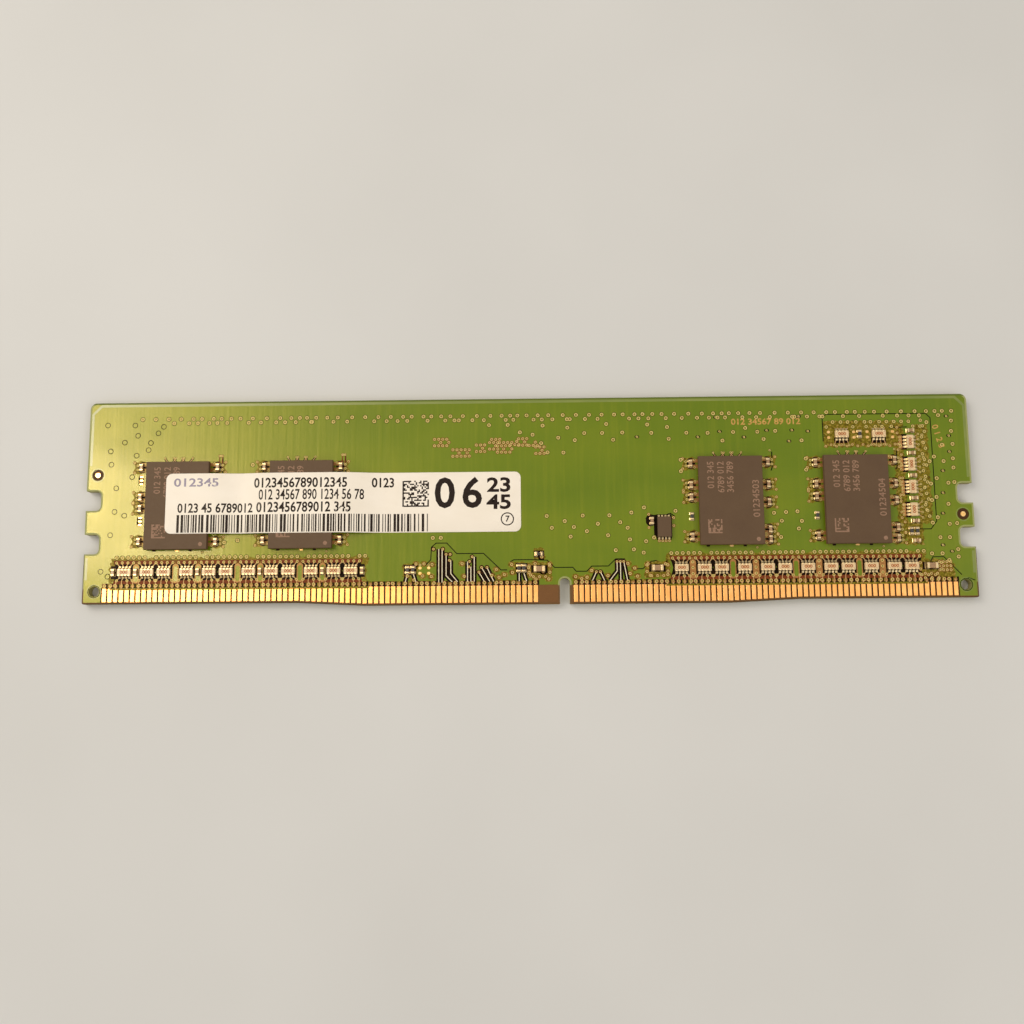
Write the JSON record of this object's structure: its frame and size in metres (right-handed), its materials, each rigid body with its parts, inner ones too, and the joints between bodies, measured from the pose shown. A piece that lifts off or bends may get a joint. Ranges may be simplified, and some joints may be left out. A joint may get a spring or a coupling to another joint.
{
  "type": "memory module",
  "caption": "Desktop memory module: a thin green circuit board with gold edge contacts, a key slot, latch notches, square memory chips, small surface-mount parts and a plain label.",
  "frame": {"origin": "middle of the board's length and height on the bare back face, which it lies on", "axes": "+X along the board, +Y towards the plain edge away from the contacts, +Z out of the component side"},
  "size_m": [0.1334, 0.0312, 0.0026],
  "materials": {
    "laminate": "bare glass-epoxy laminate, brown and slightly translucent",
    "solder_mask": "olive green solder mask, semi-gloss, copper pour showing through",
    "gold_plating": "hard gold plating over nickel",
    "solder": "reflowed lead-free solder",
    "tin_plating": "matt tin plating",
    "silicon": "ground silicon",
    "package_substrate": "red-brown package laminate, seen at its cut edge",
    "moulding_compound": "matt brown-black epoxy moulding compound",
    "array_ceramic": "cream glazed ceramic",
    "capacitor_ceramic": "tan sintered ceramic",
    "resistor_coating": "black glass overcoat",
    "label_paper": null
  },
  "bodies": {
    "root": {"array_bodies_corner": "array_ceramic", "array_bodies_left": "array_ceramic", "array_bodies_right": "array_ceramic", "array_terminals_corner": "tin_plating", "array_terminals_left": "tin_plating", "array_terminals_right": "tin_plating", "bulk_capacitor_bodies": "capacitor_ceramic", "bulk_capacitor_terminals": "tin_plating", "calibration_resistor_bodies": "resistor_coating", "calibration_resistor_terminals": "tin_plating", "centre_resistor_bodies": "resistor_coating", "centre_resistor_terminals": "tin_plating", "contacts_back_left": "gold_plating", "contacts_back_right": "gold_plating", "contacts_front_left": "gold_plating", "contacts_front_right": "gold_plating", "corner_resistor_bodies": "resistor_coating", "corner_resistor_terminals": "tin_plating", "dram_1_balls": "solder", "dram_1_capacitor_bodies": "capacitor_ceramic", "dram_1_capacitor_terminals": "tin_plating", "dram_1_die": "silicon", "dram_1_mould": "moulding_compound", "dram_1_substrate": "package_substrate", "dram_2_balls": "solder", "dram_2_capacitor_bodies": "capacitor_ceramic", "dram_2_capacitor_terminals": "tin_plating", "dram_2_die": "silicon", "dram_2_mould": "moulding_compound", "dram_2_substrate": "package_substrate", "dram_3_balls": "solder", "dram_3_capacitor_bodies": "capacitor_ceramic", "dram_3_capacitor_terminals": "tin_plating", "dram_3_die": "silicon", "dram_3_mould": "moulding_compound", "dram_3_substrate": "package_substrate", "dram_4_balls": "solder", "dram_4_capacitor_bodies": "capacitor_ceramic", "dram_4_capacitor_terminals": "tin_plating", "dram_4_die": "silicon", "dram_4_mould": "moulding_compound", "dram_4_substrate": "package_substrate", "fiducial_dots": "gold_plating", "label": "label_paper", "pcb_laminate": "laminate", "row_capacitor_bodies": "capacitor_ceramic", "row_capacitor_terminals": "tin_plating", "solder_mask_back": "solder_mask", "solder_mask_front": "solder_mask", "spd_body": "moulding_compound", "spd_capacitor_bodies": "capacitor_ceramic", "spd_capacitor_terminals": "tin_plating", "spd_terminals": "tin_plating", "termination_capacitor_bodies": "capacitor_ceramic", "termination_capacitor_terminals": "tin_plating"}
  },
  "joints": []
}
